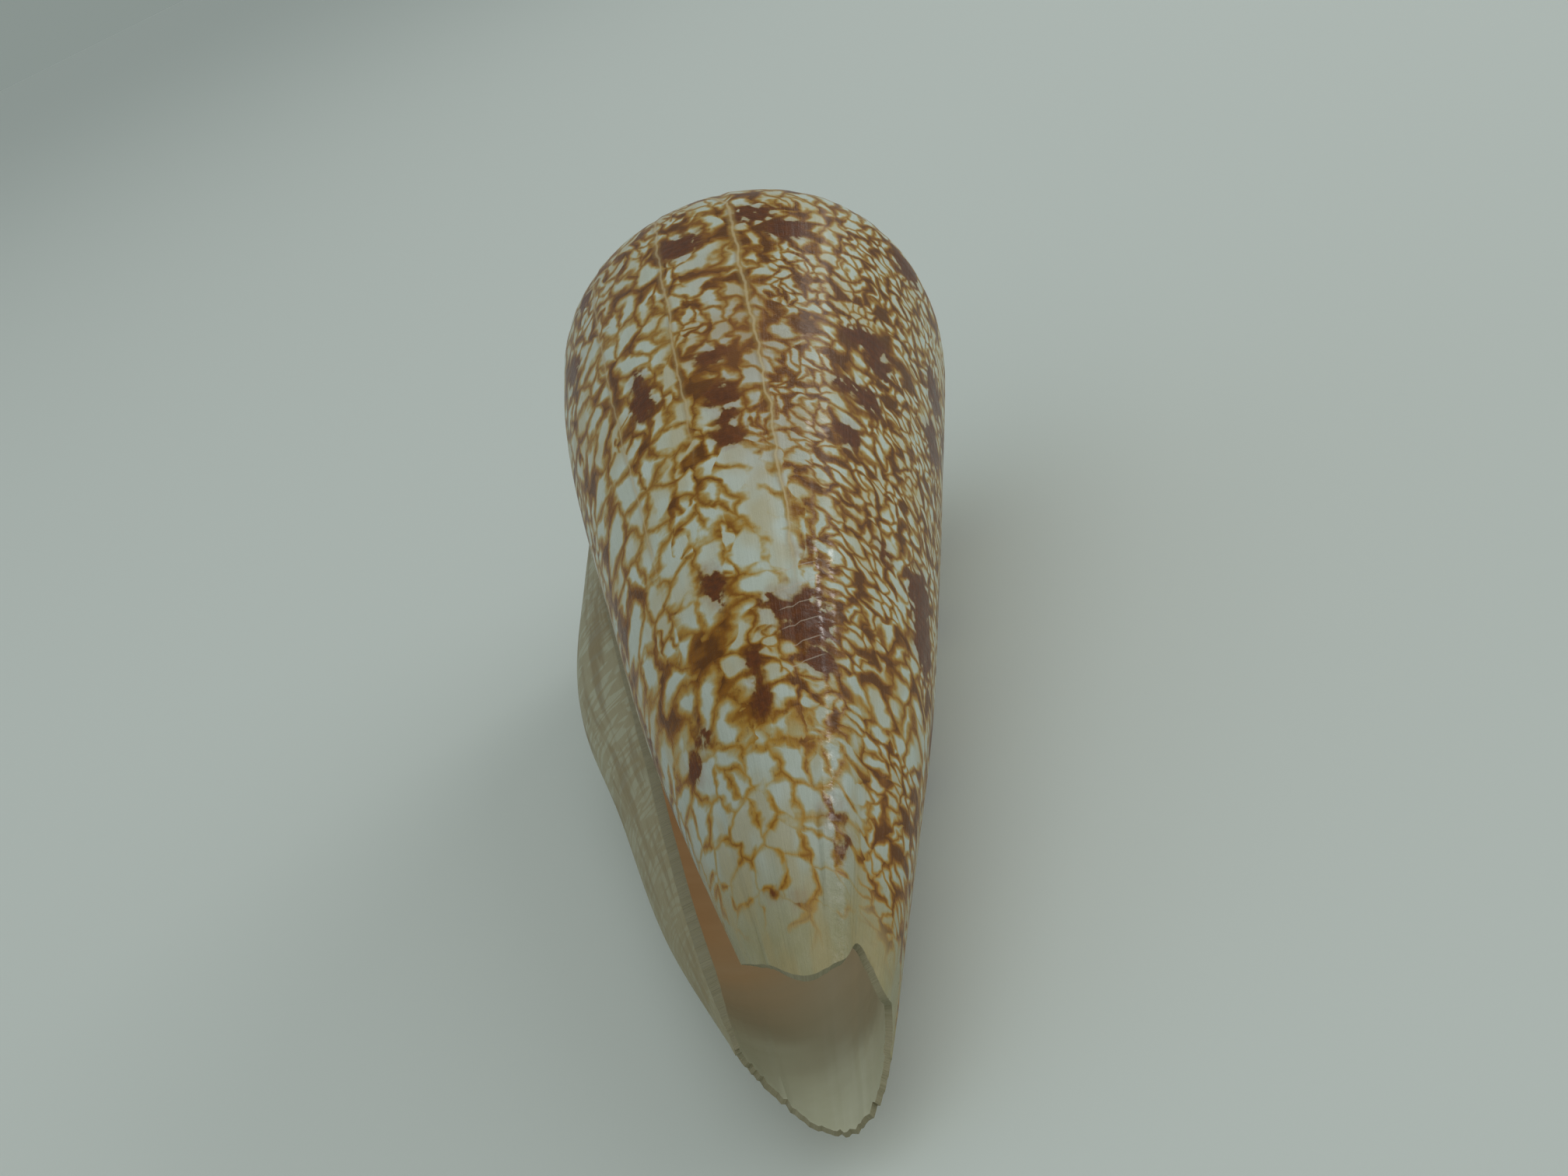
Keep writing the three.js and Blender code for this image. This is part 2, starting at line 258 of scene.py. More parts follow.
grid(E[:N + 1], 0)
grid(E[N:J + N + 1, K30:], 1)
grid(I[:, K30:], 1, True)
grid(np.stack([I[:, K30], E[N:J + N + 1, K30]], 1), 1, False)          # roof of the chamber
grid(np.stack([E[:J + 1, -1], I[:, -1]], 1), 2, False)                  # front margin
grid(np.stack([I[0, K30:], E[0, K30:]], 1), 2, True)                    # free edge of the lip
grid(np.stack([I[J, K30:], E[J + N, K30:]], 1), 1, False)               # back of the chamber

# spire
last = colm[N, 0]
JS = SPIRE_TURNS * N
ring = np.zeros((JS + N + 1, 2))
ring[:N + 1] = colm[:N + 1, 0]
s = WHORL_RATIO ** (all_turn[N + 1:JS + N + 1] - 1)
ring[N + 1:, 0] = last[0] * s
ring[N + 1:, 1] = TIP_Z + (last[1] - TIP_Z) * s
S_id = np.concatenate([E[:N + 1, 0], put(ANG[N + 1:JS + N + 1], ring[N + 1:, 0], ring[N + 1:, 1], -1.0, 0)])
cuts = np.array([0.06, 0.16, 0.32, 0.5, 0.68, 0.86])
a_, b_ = ring[:JS + 1], ring[N:JS + N + 1]
dr, dz = a_[:, 0] - b_[:, 0], a_[:, 1] - b_[:, 1]
ln = np.hypot(dr, dz)
shape = np.array([-0.25, 0.25, 0.8, 1.0, 0.75, 0.2])
h = BULGE * ln[:, None] * shape[None]
mid = put(ANG[:JS + 1, None], a_[:, :1] - dr[:, None] * cuts + h * (dz / ln)[:, None],
          a_[:, 1:] - dz[:, None] * cuts - h * (dr / ln)[:, None], -1.0 - cuts[None], 0)
band = np.concatenate([S_id[N:JS + N + 1, None], mid[:, ::-1], S_id[:JS + 1, None]], 1)
grid(band, 0)
verts_np = np.concatenate(verts)
tip = put(0.0, np.array([0.0]), np.array([TIP_Z]), -2.0, 0)[0]
fan = [[S_id[j], S_id[j + 1], tip] for j in range(JS, JS + N)]
fan += [[p, q, tip] for p, q in zip([S_id[JS + N]] + list(mid[JS][::-1]), list(mid[JS][::-1]) + [S_id[JS]])]
core = put(0.0, np.array([0.0]), np.array([Z[J:J + N + 1, -1].mean()]), 1.0, 1)[0]
fan_in = [[E[j + 1, -1], E[j, -1], core] for j in range(J, J + N)]
fan_in += [[E[J, -1], I[J, -1], core], [I[J, -1], E[J + N, -1], core]]
lip_top = [E[0, K30]] + [E[0, i] for i in range(K30 - 1, -1, -1)] + list(mid[0]) + [E[N, i] for i in range(0, K30 + 1)]
fan_lip = [[I[0, K30], lip_top[i], lip_top[i + 1]] for i in range(len(lip_top) - 1)]

verts_np = np.concatenate(verts)
uv_np = np.concatenate(uvs)
net_np = np.concatenate(nets)
mk = np.concatenate(marks)
# the worn flat underneath
verts_np[:, 2] = np.maximum(verts_np[:, 2], 0.0)
quads = np.concatenate(faces).tolist()
mats = np.concatenate(fmat).tolist()
polys = quads + fan + fan_in + fan_lip
mats += [0] * len(fan) + [1] * len(fan_in) + [2] * len(fan_lip)

me = bpy.data.meshes.new("shell")
me.from_pydata((verts_np / 1000.0).tolist(), [], [tuple(int(v) for v in p) for p in polys])
me.update()
used = np.zeros(len(verts_np), bool)
for p in polys:
    used[list(p)] = True

# ---------------------------------------------------------------- marks laid down by growth
phi_v, t_v, in_v, r_v = mk.T
SPOTS = [  # (angle, distance along the wall, half width in mm round, half length in mm, strength)
    (1, 0.29, 1.3, 1.0, 0.9), (3, 0.355, 1.1, 1.3, 1.0), (3, 0.39, 0.9, 0.9, 0.8), (3, 0.42, 1.2, 0.9, 0.9),
    (48, 0.226, 1.8, 1.3, 1.0), (52, 0.258, 1.2, 1.2, 0.9), (41, 0.323, 1.4, 1.1, 0.8), (48, 0.33, 1.2, 1.2, 0.9),
    (41, 0.40, 1.1, 1.4, 0.9), (-22, 0.323, 1.0, 1.7, 0.9), (-22, 0.28, 0.8, 1.0, 0.8), (-3, 0.065, 1.6, 1.6, 0.9),
    (17, 0.032, 1.6, 1.4, 0.8), (25, 0.065, 1.5, 1.5, 0.9), (78, 0.161, 1.6, 2.0, 1.0), (79, 0.258, 1.3, 2.2, 1.0),
    (-10, 0.613, 0.8, 1.9, 0.8), (17, 0.645, 1.6, 1.3, 1.0), (23, 0.677, 1.5, 1.1, 1.0), (26, 0.715, 1.0, 1.0, 1.0),
    (20, 0.66, 2.0, 1.6, 0.8), (0, 0.71, 0.6, 1.4, 0.7), (0, 0.75, 0.7, 1.2, 0.8), (75, 0.548, 1.4, 2.6, 1.0),
    (78, 0.60, 1.3, 2.4, 1.0), (-29, 0.774, 0.6, 1.5, 0.7), (-39, 0.806, 0.7, 1.6, 0.7), (55, 0.548, 0.8, 1.2, 0.6),
    (23, 0.581, 0.9, 0.9, 0.6), (28, 0.871, 1.0, 1.1, 0.6), (34, 0.903, 0.8, 0.9, 0.6), (-11, 0.935, 0.5, 0.7, 0.5),
    (3, 0.935, 0.6, 0.7, 0.5), (-72, 0.72, 0.6, 2.6, 0.6), (-80, 0.80, 0.6, 2.4, 0.6), (96, 0.18, 2.0, 2.2, 0.9),
    (108, 0.42, 1.8, 2.6, 0.9), (104, 0.66, 1.4, 2.2, 0.8), (132, 0.25, 2.2, 2.2, 0.9), (140, 0.55, 1.8, 2.4, 0.9),
    (160, 0.14, 2.0, 1.8, 0.9), (164, 0.38, 1.8, 2.4, 0.8), (176, 0.70, 1.3, 2.0, 0.7), (-50, 0.12, 1.4, 1.6, 0.8),
    (-76, 0.3, 1.1, 2.0, 0.8), (-95, 0.18, 1.4, 1.8, 0.8), (186, 0.2, 1.4, 2.0, 0.7), (60, 0.02, 1.6, 1.4, 0.9),
    (120, 0.04, 1.8, 1.6, 0.8), (-40, 0.0, 1.4, 1.2, 0.7),
]
PALE = [
    (9, 0.50, 1.3, 3.0, 1.0), (13, 0.57, 1.4, 3.4, 1.0), (17, 0.625, 1.1, 1.6, 1.0), (9, 0.455, 1.6, 1.5, 0.9),
    (-10, 0.55, 0.8, 2.2, 0.8), (-16, 0.39, 1.0, 2.0, 0.8), (-14, 0.25, 1.3, 1.8, 0.7), (-32, 0.54, 0.9, 3.6, 0.8),
    (-20, 0.62, 0.9, 2.8, 0.8), (-5, 0.82, 0.9, 2.4, 0.8), (5, 0.87, 0.9, 1.8, 0.7), (-22, 0.86, 1.0, 2.4, 0.7),
    (-40, 0.40, 1.0, 2.6, 0.6), (-48, 0.62, 0.8, 3.0, 0.6), (-28, 0.18, 1.2, 1.6, 0.6),
]


def stain(items, soft=1.0):
    out = np.zeros(len(mk))
    length = 55.0
    for a, t, wr, wl, amp in items:
        x = np.radians(phi_v - a) * np.maximum(r_v, 1) / wr
        y = (np.clip(t_v, -1, 1) * np.where(t_v < 0, 8, length) - t * length) / wl
        out = np.maximum(out, amp * np.exp(-(x * x + y * y) * soft))
    return out


out_v = (in_v < 0.5) & (phi_v > -112)
a_spot = stain(SPOTS) * out_v
a_pale = stain(PALE, 0.8) * out_v
line = lambda a0, a1, w, t0, t1: np.exp(-((phi_v - a0 - (a1 - a0) * np.clip(t_v, 0, 1)) * np.maximum(r_v, 1) * 0.01745 / w) ** 2) * smooth(t0 - 0.05, t0 + 0.02, t_v) * (1 - smooth(t1 - 0.04, t1 + 0.06, t_v))
a_tan = np.zeros(len(mk))
for a0, a1, w, t0, t1, amp in ((11, 24.5, 0.24, -0.4, 0.60, 1.0), (-9, -9, 0.35, -0.4, 0.42, 0.8), (-36, -31, 0.4, 0.2, 0.6, 0.8),
                               (52, 60, 0.3, 0.0, 0.5, 0.35), (118, 122, 0.4, -0.6, 0.95, 0.9), (150, 158, 0.4, -0.6, 0.9, 0.6)):
    a_tan = np.maximum(a_tan, amp * line(a0, a1, w, t0, t1))
a_tan *= out_v
a_rib = np.exp(-((phi_v - 26 - 4 * np.clip(t_v, 0, 1)) / 7.0) ** 2) * smooth(0.05, 0.2, t_v) * out_v
a_band = smooth(186, 212, phi_v) * (in_v < 0.5)                       # pale growth zone behind the lip
a_band = np.maximum(a_band, (1 - smooth(-104, -88, phi_v)) * (in_v < 0.5) * 0.9)
a_front = np.clip(t_v, -2, 1)
a_deep = np.where(in_v > 0.5, 0, np.where(phi_v < -110, 1, 0))


def add_float(name, values):
    att = me.attributes.new(name, "FLOAT", "POINT")
    att.data.foreach_set("value", np.asarray(values, np.float32))


add_float("spot", a_spot)
add_float("pale", a_pale)
add_float("tan", a_tan)
add_float("rib", a_rib)
add_float("band", a_band)
add_float("front", a_front)
add_float("turn", phi_v)
FINE = [(20, 0.20, 3.0, 7.0, 1.0), (22, 0.36, 3.0, 8.0, 1.0), (24, 0.50, 2.6, 6.0, 0.8), (38, 0.46, 3.0, 9.0, 0.8), (60, 0.10, 5.0, 8.0, 0.7)]
add_float("haze", stain([(12, 0.27, 3.0, 6.0, 1.0), (16, 0.40, 2.4, 5.0, 0.8), (4, 0.14, 1.6, 3.0, 0.5)]) * out_v)
add_float("fine", np.maximum(smooth(20, 50, phi_v) * 0.75, stain(FINE)) - 0.45 * (1 - smooth(-16, 6, phi_v)))
uvl = me.uv_layers.new(name="Growth")
loops = np.zeros(len(me.loops), np.int32)
me.loops.foreach_get("vertex_index", loops)
uvl.data.foreach_set("uv", uv_np[loops].astype(np.float32).ravel())
netl = me.uv_layers.new(name="Net")
netl.data.foreach_set("uv", net_np[loops].astype(np.float32).ravel())
me.polygons.foreach_set("material_index", np.asarray(mats, np.int32))
me.polygons.foreach_set("use_smooth", np.ones(len(me.polygons), bool))
me.set_sharp_from_angle(angle=math.radians(55))
me.update()

shell = bpy.data.objects.new("shell_look", me)
bpy.context.scene.collection.objects.link(shell)

# make sure the surface faces out
import bmesh
bm = bmesh.new()
bm.from_mesh(me)
loose = [v for v in bm.verts if not v.link_faces]
bmesh.ops.delete(bm, geom=loose, context="VERTS")
if bm.calc_volume(signed=True) < 0:
    bmesh.ops.reverse_faces(bm, faces=bm.faces)
bm.to_mesh(me)
bm.free()


# ---------------------------------------------------------------- materials
class Tree:
    def __init__(self, name):
        self.mat = bpy.data.materials.new(name)
        self.mat.use_nodes = True
        self.t = self.mat.node_tree
        self.t.nodes.clear()
        self.out = self.t.nodes.new("ShaderNodeOutputMaterial")
        self.bsdf = self.t.nodes.new("ShaderNodeBsdfPrincipled")
        self.t.links.new(self.bsdf.outputs[0], self.out.inputs[0])

    def link(self, value, socket):
        if hasattr(value, "links"):
            self.t.links.new(value, socket)
        elif isinstance(value, (tuple, list)):
            socket.default_value = tuple(value) + ((1.0,) if len(value) == 3 and len(socket.default_value) == 4 else ())
        else:
            socket.default_value = value

    def attr(self, name):
        n = self.t.nodes.new("ShaderNodeAttribute")
        n.attribute_name = name
        return n.outputs["Fac"]

    def uv(self, name="Growth"):
        n = self.t.nodes.new("ShaderNodeUVMap")
        n.uv_map = name
        return n.outputs[0]

    def tent(self, vector, width, size, twist):
        """White rounded tents on a dark net: 1 inside a tent. width is the line between
        neighbours, size the size of each tent, twist how far each is turned."""
        edge = self.voronoi(vector, 1.0)
        n = self.t.nodes.new("ShaderNodeTexVoronoi")
        n.voronoi_dimensions = "2D"
        n.feature = "F1"
        self.link(vector, n.inputs["Vector"])
        n.inputs["Scale"].default_value = 1.0
        n.inputs["Randomness"].default_value = 1.0
        sep = self.t.nodes.new("ShaderNodeSeparateColor")
        self.link(n.outputs["Color"], sep.inputs[0])
        local = self.vec("SUBTRACT", vector, n.outputs["Position"])
        rot = self.t.nodes.new("ShaderNodeVectorRotate")
        rot.rotation_type = "Z_AXIS"
        self.link(local, rot.inputs["Vector"])
        self.link(self.math("MULTIPLY_ADD", sep.outputs[0], twist, -0.5 * twist), rot.inputs["Angle"])
        xyz = self.t.nodes.new("ShaderNodeSeparateXYZ")
        self.link(rot.outputs[0], xyz.inputs[0])
        side = self.math("MULTIPLY_ADD", self.math("ABSOLUTE", xyz.outputs[1]), 0.90, self.math("MULTIPLY", xyz.outputs[0], 0.44))
        tri = self.math("SMOOTH_MAX", side, self.math("MULTIPLY", xyz.outputs[0], -1.0), 0.12)
        each = self.math("MULTIPLY", size, self.math("MULTIPLY_ADD", sep.outputs[1], 0.7, 0.65))
        inner = self.math("SUBTRACT", each, tri)
        gap = self.math("SUBTRACT", edge, width)
        return self.math("SMOOTH_MIN", inner, gap, 0.12)

    def math(self, op, a, b=0.0, c=0.0, clamp=False):
        n = self.t.nodes.new("ShaderNodeMath")
        n.operation = op
        n.use_clamp = clamp
        self.link(a, n.inputs[0])
        self.link(b, n.inputs[1])
        if op in ("MULTIPLY_ADD", "SMOOTH_MIN", "SMOOTH_MAX"):
            self.link(c, n.inputs[2])
        return n.outputs[0]

    def vec(self, op, a, b):
        n = self.t.nodes.new("ShaderNodeVectorMath")
        n.operation = op
        self.link(a, n.inputs[0])
        if op == "SCALE":
            self.link(b, n.inputs[3])
        else:
            self.link(b, n.inputs[1])
        return n.outputs[0]

    def noise(self, vector, scale, detail=2.0, rough=0.5, color=False, dims="2D", distortion=0.0):
        n = self.t.nodes.new("ShaderNodeTexNoise")
        n.noise_dimensions = dims
        self.link(vector, n.inputs["Vector"])
        n.inputs["Scale"].default_value = scale
        n.inputs["Detail"].default_value = detail
        n.inputs["Roughness"].default_value = rough
        n.inputs["Distortion"].default_value = distortion
        return n.outputs["Color" if color else "Fac"]

    def voronoi(self, vector, scale, feature="DISTANCE_TO_EDGE", rand=1.0, out="Distance"):
        n = self.t.nodes.new("ShaderNodeTexVoronoi")
        n.voronoi_dimensions = "2D"
        n.feature = feature
        self.link(vector, n.inputs["Vector"])
        n.inputs["Scale"].default_value = scale
        n.inputs["Randomness"].default_value = rand
        return n.outputs[out]

    def lerp(self, f, a, b):
        return self.math("MULTIPLY_ADD", f, self.math("SUBTRACT", b, a), a)

    def step(self, x, lo, hi, a=0.0, b=1.0):
        n = self.t.nodes.new("ShaderNodeMapRange")
        n.interpolation_type = "SMOOTHSTEP"
        self.link(x, n.inputs["Value"])
        self.link(lo, n.inputs["From Min"])
        self.link(hi, n.inputs["From Max"])
        n.inputs["To Min"].default_value = a
        n.inputs["To Max"].default_value = b
        return n.outputs[0]

    def mix(self, f, a, b):
        n = self.t.nodes.new("ShaderNodeMix")
        n.data_type = "RGBA"
        self.link(f, n.inputs[0])
        self.link(a, n.inputs[6])
        self.link(b, n.inputs[7])
        return n.outputs[2]

    def bump(self, height, strength, distance, normal=None):
        n = self.t.nodes.new("ShaderNodeBump")
        n.inputs["Strength"].default_value = strength
        n.inputs["Distance"].default_value = distance
        self.link(height, n.inputs["Height"])
        if normal is not None:
            self.link(normal, n.inputs["Normal"])
        return n.outputs[0]


def srgb(r, g, b):
    f = lambda c: (c / 12.92) if c <= 0.04045 else ((c + 0.055) / 1.055) ** 2.4
    return (f(r / 255.0), f(g / 255.0), f(b / 255.0), 1.0)


def stretch(m, v, sx, sy):
    return m.vec("MULTIPLY", v, (sx, sy, 1.0))


def outside():
    m = Tree("patterned outside")
    uv = m.uv()
    spot, pale, tan = m.attr("spot"), m.attr("pale"), m.attr("tan")
    band, front, rib, finea = m.attr("band"), m.attr("front"), m.attr("rib"), m.attr("fine")
    nuv = m.uv("Net")
    # uneven growth pulls the net about
    w1 = m.vec("SUBTRACT", m.noise(nuv, 0.22, 1.0, 0.5, True), (0.5, 0.5, 0.5))
    w2 = m.vec("SUBTRACT", m.noise(nuv, 0.8, 1.0, 0.5, True), (0.5, 0.5, 0.5))
    w3 = m.vec("SUBTRACT", m.noise(nuv, 2.2, 1.0, 0.5, True), (0.5, 0.5, 0.5))
    p = m.vec("ADD", nuv, m.vec("SCALE", w1, 2.2))
    p = m.vec("ADD", p, m.vec("SCALE", w2, 0.9))
    p = m.vec("ADD", p, m.vec("SCALE", w3, 0.26))
    patch = m.noise(stretch(m, nuv, 0.20, 0.15), 1.0, 2.0, 0.5)
    patch2 = m.noise(m.vec("ADD", stretch(m, nuv, 0.42, 0.30), (31.0, 7.0, 0.0)), 1.0, 3.0, 0.55)
    gone = m.step(front, 0.90, 1.0)
    turn = m.attr("turn")
    # how much ground shows: wide lines and small tents where growth was rich in colour
    rich = m.step(m.math("SUBTRACT", m.math("MULTIPLY_ADD", spot, 0.26, patch2), m.math("MULTIPLY_ADD", pale, 0.30, m.math("MULTIPLY", gone, 0.10))), 0.30, 0.72)
    width = m.math("MULTIPLY_ADD", rich, 0.085, 0.085)
    size = m.math("MULTIPLY_ADD", rich, -0.14, 0.40)
    size = m.math("MULTIPLY_ADD", pale, 0.5, size)
    size = m.math("MULTIPLY_ADD", gone, 0.08, size)
    t_big = m.tent(stretch(m, p, 0.56, 0.40), m.math("MULTIPLY", width, 1.05), m.math("ADD", size, 0.04), 3.4)
    t_mid = m.tent(m.vec("ADD", stretch(m, p, 0.78, 0.60), (13.0, 5.0, 0.0)), width, size, 3.4)
    t_sml = m.tent(m.vec("ADD", stretch(m, p, 1.20, 1.02), (3.0, 21.0, 0.0)), width, size, 3.4)
    zone = m.math("MULTIPLY_ADD", finea, 0.26, patch)
    zone = m.math("SUBTRACT", zone, m.math("MULTIPLY_ADD", pale, 0.5, m.math("MULTIPLY", gone, 0.10)))
    keep_m = m.step(zone, 0.42, 0.46)
    keep_s = m.step(zone, 0.59, 0.63)
    inside_ = m.lerp(keep_m, t_big, t_mid)
    inside_ = m.lerp(keep_s, inside_, t_sml)
    late = m.math("MULTIPLY", m.step(front, 0.72, 0.86), m.step(turn, 36.0, 52.0, 1.0, 0.0))
    q = m.vec("ADD", m.vec("ADD", nuv, m.vec("SCALE", w2, 0.7)), m.vec("SCALE", w3, 0.20))
    rot = m.t.nodes.new("ShaderNodeVectorRotate")
    rot.rotation_type = "Z_AXIS"
    rot.inputs["Angle"].default_value = 0.30
    m.link(q, rot.inputs["Vector"])
    t_long = m.math("SUBTRACT", m.voronoi(stretch(m, rot.outputs[0], 0.92, 0.52), 1.0), 0.130)
    breaks = m.step(m.noise(m.vec("ADD", stretch(m, nuv, 0.9, 0.55), (7.0, 3.0, 0.0)), 1.0, 1.0, 0.5), 0.44, 0.58)
    t_long = m.math("MULTIPLY_ADD", breaks, m.step(front, 0.72, 0.98, 0.02, 0.14), t_long)
    inside_ = m.lerp(late, inside_, t_long)
    inside_ = m.math("MULTIPLY_ADD", gone, 0.045, inside_)
    rag = m.math("MULTIPLY_ADD", m.noise(uv, 0.9, 3.0, 0.65), 0.9, m.math("MULTIPLY", spot, 1.15))
    inside_ = m.math("MULTIPLY_ADD", m.step(rag, 0.95, 1.45), -0.34, inside_)
    blob = m.math("MULTIPLY_ADD", m.noise(nuv, 0.9, 2.0, 0.5), 0.55, m.math("MULTIPLY_ADD", pale, 0.50, -0.62))
    inside_ = m.math("MAXIMUM", inside_, blob)
    net = m.step(inside_, -0.060, 0.055, 1.0, 0.0)
    net = m.math("MULTIPLY", net, m.step(front, 0.93, 0.992, 1.0, 0.0))
    # colour of the lines: golden at the rim, brown in the middle
    deep_noise = m.noise(uv, 2.6, 3.0, 0.6)
    gold = m.mix(m.step(inside_, -0.15, -0.03), srgb(134, 86, 18), srgb(168, 130, 54))
    gold = m.mix(m.step(inside_, -0.30, -0.14), srgb(98, 58, 12), gold)
    gold = m.mix(m.math("MULTIPLY", m.step(deep_noise, 0.52, 0.80), 0.6), gold, srgb(108, 66, 12))
    brown = m.mix(m.step(deep_noise, 0.3, 0.7), srgb(90, 44, 8), srgb(54, 24, 6))
    gold = m.mix(m.math("MULTIPLY", m.step(rag, 0.72, 1.20), 0.95), gold, brown)
    white = m.mix(m.noise(uv, 0.5, 2.0, 0.5), srgb(186, 194, 178), srgb(202, 212, 204))
    white = m.mix(m.step(inside_, 0.01, 0.12), srgb(184, 172, 124), white)
    cream = m.mix(m.noise(uv, 0.9, 3.0, 0.6), srgb(166, 160, 118), srgb(182, 178, 144))
    ground = m.mix(m.step(front, 0.86, 0.98), white, cream)
    blush = m.step(m.noise(m.vec("ADD", stretch(m, uv, 0.3, 0.2), (5.0, 40.0, 0.0)), 1.0, 2.0, 0.5), 0.44, 0.68)
    ground = m.mix(m.math("MULTIPLY", blush, 0.50), ground, srgb(186, 168, 118))
    ground = m.vec("SCALE", ground, m.step(front, 0.35, 1.0, 1.0, 0.76))
    col = m.mix(net, ground, gold)
    hazy = m.attr("haze")
    col = m.mix(m.math("MULTIPLY", hazy, 0.40), col, srgb(146, 98, 60))
    wobble = m.math("MULTIPLY_ADD", m.noise(stretch(m, nuv, 0.3, 0.5), 1.0, 2.0, 0.5), 0.5, -0.25)
    ridge = None
    for a0, a1, lo, hi, amp in ((11.0, 13.5, 0.50, 0.66, 1.0), (-9.0, 1.0, 0.34, 0.46, 0.8), (-34.0, 4.0, 0.50, 0.62, 0.6), (120.0, 4.0, 0.85, 0.95, 0.7)):
        d = m.math("SUBTRACT", turn, m.math("MULTIPLY_ADD", front, a1, a0))
        d = m.math("ABSOLUTE", m.math("MULTIPLY_ADD", d, 0.19, wobble))
        one = m.math("MULTIPLY", m.step(d, 0.04, 0.34, amp, 0.0), m.step(front, lo, hi, 1.0, 0.0))
        core = m.math("MULTIPLY", m.step(d, 0.02, 0.10, amp, 0.0), m.step(front, lo, hi, 1.0, 0.0))
        ridge = (one, core) if ridge is None else (m.math("MAXIMUM", ridge[0], one), m.math("MAXIMUM", ridge[1], core))
    tan_w = m.math("MULTIPLY", ridge[0], m.step(m.noise(stretch(m, uv, 0.6, 0.3), 1.0, 2.0, 0.6), 0.25, 0.55, 0.55, 1.0))
    col = m.mix(m.math("MULTIPLY", tan_w, 0.75), col, srgb(168, 138, 78))
    col = m.mix(m.math("MULTIPLY", ridge[1], 0.55), col, srgb(206, 190, 150))
    heart = m.math("MULTIPLY", m.step(rag, 1.15, 1.55), m.step(m.noise(uv, 1.4, 2.0, 0.6), 0.35, 0.60))
    col = m.mix(m.math("MULTIPLY", heart, 0.5), col, srgb(44, 22, 18))
    halo = m.math("MULTIPLY", m.step(rag, 0.62, 1.20), 0.30)
    col = m.mix(halo, col, srgb(132, 78, 40))
    limb = m.math("MULTIPLY", m.step(turn, -82.0, -52.0, 1.0, 0.0), m.step(front, 0.35, 0.6))
    fine_s = m.step(m.noise(stretch(m, uv, 5.0, 0.22), 1.0, 2.0, 0.6), 0.46, 0.62)
    col = m.mix(m.math("MULTIPLY", m.math("MULTIPLY", limb, fine_s), 0.55), col, srgb(112, 98, 92))
    # a few short pale scratches across the big blotch
    across = m.math("MULTIPLY_ADD", front, 55.0, m.math("MULTIPLY_ADD", turn, 0.055, -1.1))
    away = m.math("ABSOLUTE", m.math("SUBTRACT", m.math("FRACT", m.math("MULTIPLY", across, 0.80)), 0.5))
    patchy = m.math("MULTIPLY", m.step(front, 0.585, 0.60), m.step(front, 0.72, 0.74, 1.0, 0.0))
    patchy = m.math("MULTIPLY", patchy, m.math("MULTIPLY", m.step(turn, 11.0, 14.0), m.step(turn, 25.0, 30.0, 1.0, 0.0)))
    scratch = m.math("MULTIPLY", m.step(away, 0.010, 0.045, 1.0, 0.0), patchy)
    col = m.mix(m.math("MULTIPLY", scratch, 0.5), col, srgb(190, 176, 156))
    # pale zone behind the lip: soft grey-brown streaks that follow the growth
    streak = m.noise(stretch(m, uv, 1.6, 0.12), 1.0, 3.0, 0.6)
    pb = m.mix(m.math("MULTIPLY", m.step(streak, 0.44, 0.66), 0.8), srgb(172, 172, 148), srgb(134, 122, 94))
    faint = m.math("MULTIPLY", net, 0.42)
    pb = m.mix(faint, pb, srgb(140, 120, 76))
    pb = m.mix(m.step(front, 0.30, 0.95, 0.0, 0.60), pb, srgb(142, 130, 94))
    col = m.mix(band, col, pb)
    m.link(col, m.bsdf.inputs["Base Color"])
    # surface: spiral threads, growth lines, fine grain
    sepv = m.t.nodes.new("ShaderNodeSeparateXYZ")
    m.link(m.vec("ADD", uv, m.vec("SCALE", w1, 0.25)), sepv.inputs[0])
    threads = m.math("SINE", m.math("MULTIPLY", sepv.outputs[1], 9.5))
    tn = m.noise(stretch(m, uv, 0.5, 1.8), 1.0, 3.0, 0.6)
    th = m.math("MULTIPLY", m.math("MULTIPLY_ADD", threads, 0.5, 0.5), m.math("MULTIPLY_ADD", rib, 0.75, 0.25))
    th = m.math("MULTIPLY", th, tn)
    growth = m.noise(stretch(m, uv, 3.4, 0.16), 1.0, 4.0, 0.65)
    grain = m.noise(uv, 7.0, 3.0, 0.6)
    hgt = m.math("MULTIPLY_ADD", growth, 0.6, m.math("MULTIPLY", th, 0.5))
    hgt = m.math("MULTIPLY_ADD", grain, 0.22, hgt)
    hgt = m.math("MULTIPLY_ADD", ridge[0], 0.5, hgt)
    pits = m.math("MULTIPLY", m.noise(stretch(m, nuv, 3.0, 5.0), 1.0, 2.0, 0.6), m.math("MULTIPLY", rib, 1.2))
    hgt = m.math("ADD", hgt, pits)
    m.link(m.bump(hgt, 0.60, 0.00013), m.bsdf.inputs["Normal"])
    rough = m.math("MULTIPLY_ADD", m.noise(uv, 1.2, 3.0, 0.6), 0.26, 0.20)
    rough = m.math("MULTIPLY_ADD", band, 0.2, rough)
    rough = m.math("MULTIPLY_ADD", rib, -0.14, rough)
    m.link(rough, m.bsdf.inputs["Roughness"])
    m.bsdf.inputs["Specular IOR Level"].default_value = 0.14
    m.bsdf.inputs["IOR"].default_value = 1.5
    glossy = m.math("MULTIPLY", rib, m.step(m.noise(stretch(m, nuv, 1.6, 2.4), 1.0, 2.0, 0.6), 0.46, 0.62))
    runs = m.math("MAXIMUM", m.step(m.noise(stretch(m, nuv, 0.05, 0.16), 1.0, 1.0, 0.5), 0.46, 0.60), m.step(front, 0.74, 0.84))
    glossy = m.math("MULTIPLY", glossy, runs)
